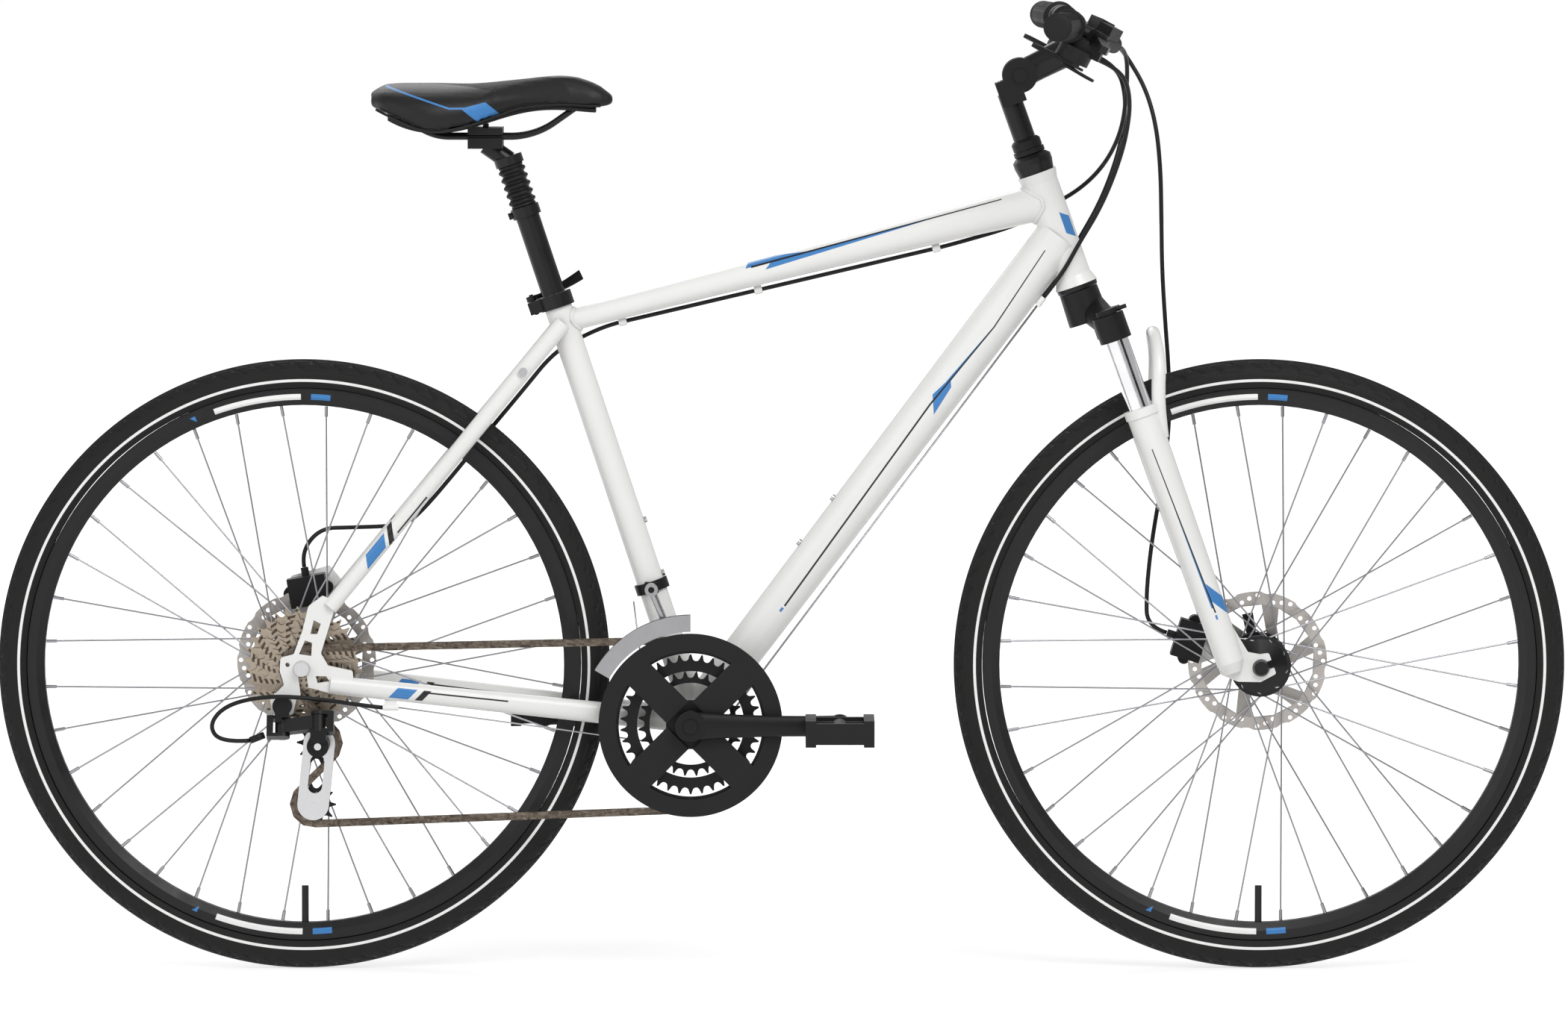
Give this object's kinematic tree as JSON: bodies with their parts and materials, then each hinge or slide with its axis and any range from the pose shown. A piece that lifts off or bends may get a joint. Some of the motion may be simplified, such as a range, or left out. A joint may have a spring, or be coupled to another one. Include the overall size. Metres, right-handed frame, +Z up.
{
  "type": "hybrid bike",
  "caption": "Hybrid bicycle with suspension fork and seatpost, disc brakes, adjustable stem, derailleur gears and a chain guard.",
  "frame": {"origin": "on the ground midway between the axles, in the bike's mid plane, with the bars straight", "axes": "+X forward, +Y to the rider's left, +Z up"},
  "size_m": [1.7938, 0.6482, 1.1044],
  "materials": {
    "black_metal": "satin",
    "black_plastic": "matte",
    "black_rubber": "matte",
    "black_trim": "matte",
    "chain_steel": "oiled",
    "chrome": "polished",
    "grip_rubber": "ribbed",
    "paint_white": "gloss",
    "steel": "brushed",
    "tyre": "matte",
    "vinyl": "grained"
  },
  "bodies": {
    "frame": {"frame": "paint_white", "frame_fittings": "black_trim", "bearing_cups": "black_metal", "seat_clamp": "black_metal", "rear_axle": "steel", "rear_caliper": "black_metal", "front_derailleur_clamp": "black_metal", "rear_brake_hose": "black_rubber", "shift_housings": "black_rubber", "gear_cables": "black_rubber", "chain": "chain_steel", "derailleur_bracket": "black_metal"},
    "fork_upper": {"fork_crown": "black_metal", "fork_stanchions": "chrome", "headset_locknut": "black_metal", "stem_quill": "black_metal", "front_brake_hose": "black_rubber"},
    "fork_lower": {"fork_lowers": "paint_white", "front_caliper": "black_metal", "front_axle": "steel"},
    "lockout": {"fork_lockout_knob": "black_plastic"},
    "front_wheel": {"front_tyre": "tyre", "front_rim": "black_metal", "front_spokes": "steel", "front_hub": "black_metal", "front_rotor": "steel"},
    "rear_wheel": {"rear_tyre": "tyre", "rear_rim": "black_metal", "rear_spokes": "steel", "rear_hub": "black_metal", "rear_rotor": "steel"},
    "bars": {"stem_extension": "black_metal", "handlebar": "black_metal", "grips": "grip_rubber", "control_bodies": "black_plastic"},
    "crank": {"cranks": "black_metal", "chainrings": "chain_steel", "chain_guard": "black_plastic"},
    "seatpost": {"seatpost_tube": "black_metal", "seatpost_boot": "black_rubber"},
    "saddle": {"seatpost_head": "black_metal", "saddle_rails": "steel", "saddle_shell": "black_plastic", "saddle_cover": "vinyl"},
    "right_brake_lever": {"right_brake_lever": "black_metal"},
    "left_brake_lever": {"left_brake_lever": "black_metal"},
    "right_shift_lever": {"right_shift_lever": "black_plastic"},
    "left_shift_lever": {"left_shift_lever": "black_plastic"},
    "front_axle_lever": {"front_axle_lever": "black_metal"},
    "rear_axle_lever": {"rear_axle_lever": "black_metal"},
    "right_pedal": {"right_pedal": "black_plastic"},
    "left_pedal": {"left_pedal": "black_plastic"},
    "cassette": {"cassette": "steel"},
    "derailleur_link": {"derailleur_link": "black_metal"},
    "derailleur_knuckle": {"derailleur_knuckle": "black_metal"},
    "derailleur_cage": {"derailleur_cage": "steel"},
    "guide_pulley": {"guide_pulley": "black_plastic"},
    "tension_pulley": {"tension_pulley": "black_plastic"},
    "front_derailleur_cage": {"front_derailleur_cage": "steel"},
    "seat_clamp_lever": {"seat_clamp_lever": "black_metal"}
  },
  "joints": [
    {"name": "steering", "type": "hinge", "parent": "frame", "child": "fork_upper", "pos_m": [0.29137, 0, 0.91286], "axis": [-0.3355, 0, 0.9421], "range_deg": [-60, 60], "deforming": ["rear_brake_hose", "shift_housings"]},
    {"name": "stem_tilt", "type": "hinge", "parent": "fork_upper", "child": "bars", "pos_m": [0.2717, 0, 1.02475], "axis": [0, 1, 0], "range_deg": [-25, 25], "deforming": ["front_brake_hose"]},
    {"name": "right_brake_pull", "type": "hinge", "parent": "bars", "child": "right_brake_lever", "pos_m": [0.35617, -0.19263, 1.06904], "axis": [-0.4534, 0.0524, -0.8898], "range_deg": [0, 16], "stiffness_Nm_per_rad": 0.6, "springref_deg": -5.73},
    {"name": "right_shift_push", "type": "hinge", "parent": "bars", "child": "right_shift_lever", "pos_m": [0.32503, -0.18764, 1.04699], "axis": [-0.4534, 0.0524, -0.8898], "range_deg": [0, 20], "stiffness_Nm_per_rad": 0.3, "springref_deg": -8.02},
    {"name": "left_brake_pull", "type": "hinge", "parent": "bars", "child": "left_brake_lever", "pos_m": [0.35617, 0.19263, 1.06904], "axis": [0.4534, 0.0524, 0.8898], "range_deg": [0, 16], "stiffness_Nm_per_rad": 0.6, "springref_deg": -5.73},
    {"name": "left_shift_push", "type": "hinge", "parent": "bars", "child": "left_shift_lever", "pos_m": [0.32503, 0.18764, 1.04699], "axis": [0.4534, 0.0524, 0.8898], "range_deg": [0, 20], "stiffness_Nm_per_rad": 0.3, "springref_deg": -8.02},
    {"name": "fork_travel", "type": "slide", "parent": "fork_upper", "child": "fork_lower", "axis": [-0.3355, 0, 0.9421], "range_m": [0, 0.06], "stiffness_N_per_m": 7000, "springref_m": -0.012, "deforming": ["front_brake_hose"]},
    {"name": "fork_lockout", "type": "hinge", "parent": "fork_upper", "child": "lockout", "pos_m": [0.37053, -0.061, 0.75316], "axis": [-0.3355, 0, 0.9421], "range_deg": [-90, 0]},
    {"name": "front_wheel_turn", "type": "hinge", "parent": "fork_lower", "child": "front_wheel", "pos_m": [0.547, 0, 0.35], "axis": [0, 1, 0], "continuous": true},
    {"name": "front_release", "type": "hinge", "parent": "fork_lower", "child": "front_axle_lever", "pos_m": [0.547, 0.067, 0.35], "axis": [0, 1, 0], "range_deg": [0, 120]},
    {"name": "rear_wheel_turn", "type": "hinge", "parent": "frame", "child": "rear_wheel", "pos_m": [-0.547, 0, 0.35], "axis": [0, 1, 0], "continuous": true},
    {"name": "rear_release", "type": "hinge", "parent": "frame", "child": "rear_axle_lever", "pos_m": [-0.547, 0.0825, 0.35], "axis": [0, 1, 0], "range_deg": [0, 120]},
    {"name": "crank_turn", "type": "hinge", "parent": "frame", "child": "crank", "pos_m": [-0.104, 0, 0.285], "axis": [0, 1, 0], "continuous": true, "deforming": ["chain"]},
    {"name": "right_pedal_spin", "type": "hinge", "parent": "crank", "child": "right_pedal", "pos_m": [0.066, -0.1285, 0.285], "axis": [0, 1, 0], "continuous": true},
    {"name": "left_pedal_spin", "type": "hinge", "parent": "crank", "child": "left_pedal", "pos_m": [-0.274, 0.1285, 0.285], "axis": [0, 1, 0], "continuous": true},
    {"name": "cassette_turn", "type": "hinge", "parent": "frame", "child": "cassette", "pos_m": [-0.547, 0, 0.35], "axis": [0, 1, 0], "continuous": true},
    {"name": "derailleur_shift", "type": "hinge", "parent": "frame", "child": "derailleur_link", "pos_m": [-0.569, -0.082, 0.284], "axis": [0, 0.3746, 0.9272], "range_deg": [0, 46], "deforming": ["chain", "gear_cables"]},
    {"name": "knuckle_turn", "type": "hinge", "parent": "derailleur_link", "child": "derailleur_knuckle", "pos_m": [-0.52672, -0.0988, 0.29079], "axis": [0, 0.3746, 0.9272], "range_deg": [-46, 0]},
    {"name": "cage_swing", "type": "hinge", "parent": "derailleur_knuckle", "child": "derailleur_cage", "pos_m": [-0.5275, -0.06, 0.2645], "axis": [0, 1, 0], "range_deg": [-40, 20], "stiffness_Nm_per_rad": 1, "deforming": ["chain"]},
    {"name": "guide_pulley_turn", "type": "hinge", "parent": "derailleur_cage", "child": "guide_pulley", "pos_m": [-0.5275, -0.06, 0.2645], "axis": [0, 1, 0], "continuous": true},
    {"name": "tension_pulley_turn", "type": "hinge", "parent": "derailleur_cage", "child": "tension_pulley", "pos_m": [-0.53471, -0.06, 0.19427], "axis": [0, 1, 0], "continuous": true},
    {"name": "front_shift", "type": "slide", "parent": "frame", "child": "front_derailleur_cage", "axis": [0, 1, 0], "range_m": [0, 0.015]},
    {"name": "seat_clamp_release", "type": "hinge", "parent": "frame", "child": "seat_clamp_lever", "pos_m": [-0.28053, 0.016, 0.75189], "axis": [-0.3173, 0, 0.9483], "range_deg": [0, 120]},
    {"name": "seat_height", "type": "slide", "parent": "frame", "child": "seatpost", "axis": [-0.3173, 0, 0.9483], "range_m": [-0.075, 0.03]},
    {"name": "seat_travel", "type": "slide", "parent": "seatpost", "child": "saddle", "axis": [-0.3173, 0, 0.9483], "range_m": [-0.04, 0], "stiffness_N_per_m": 30000, "springref_m": 0.01, "deforming": ["seatpost_boot"]}
  ],
  "couplings": [
    {"joint": "cassette_turn", "follows": "crank_turn", "ratio": 4.3636},
    {"joint": "guide_pulley_turn", "follows": "crank_turn", "ratio": -4.3636},
    {"joint": "tension_pulley_turn", "follows": "crank_turn", "ratio": 4.3636},
    {"joint": "knuckle_turn", "follows": "derailleur_shift", "ratio": -1}
  ]
}
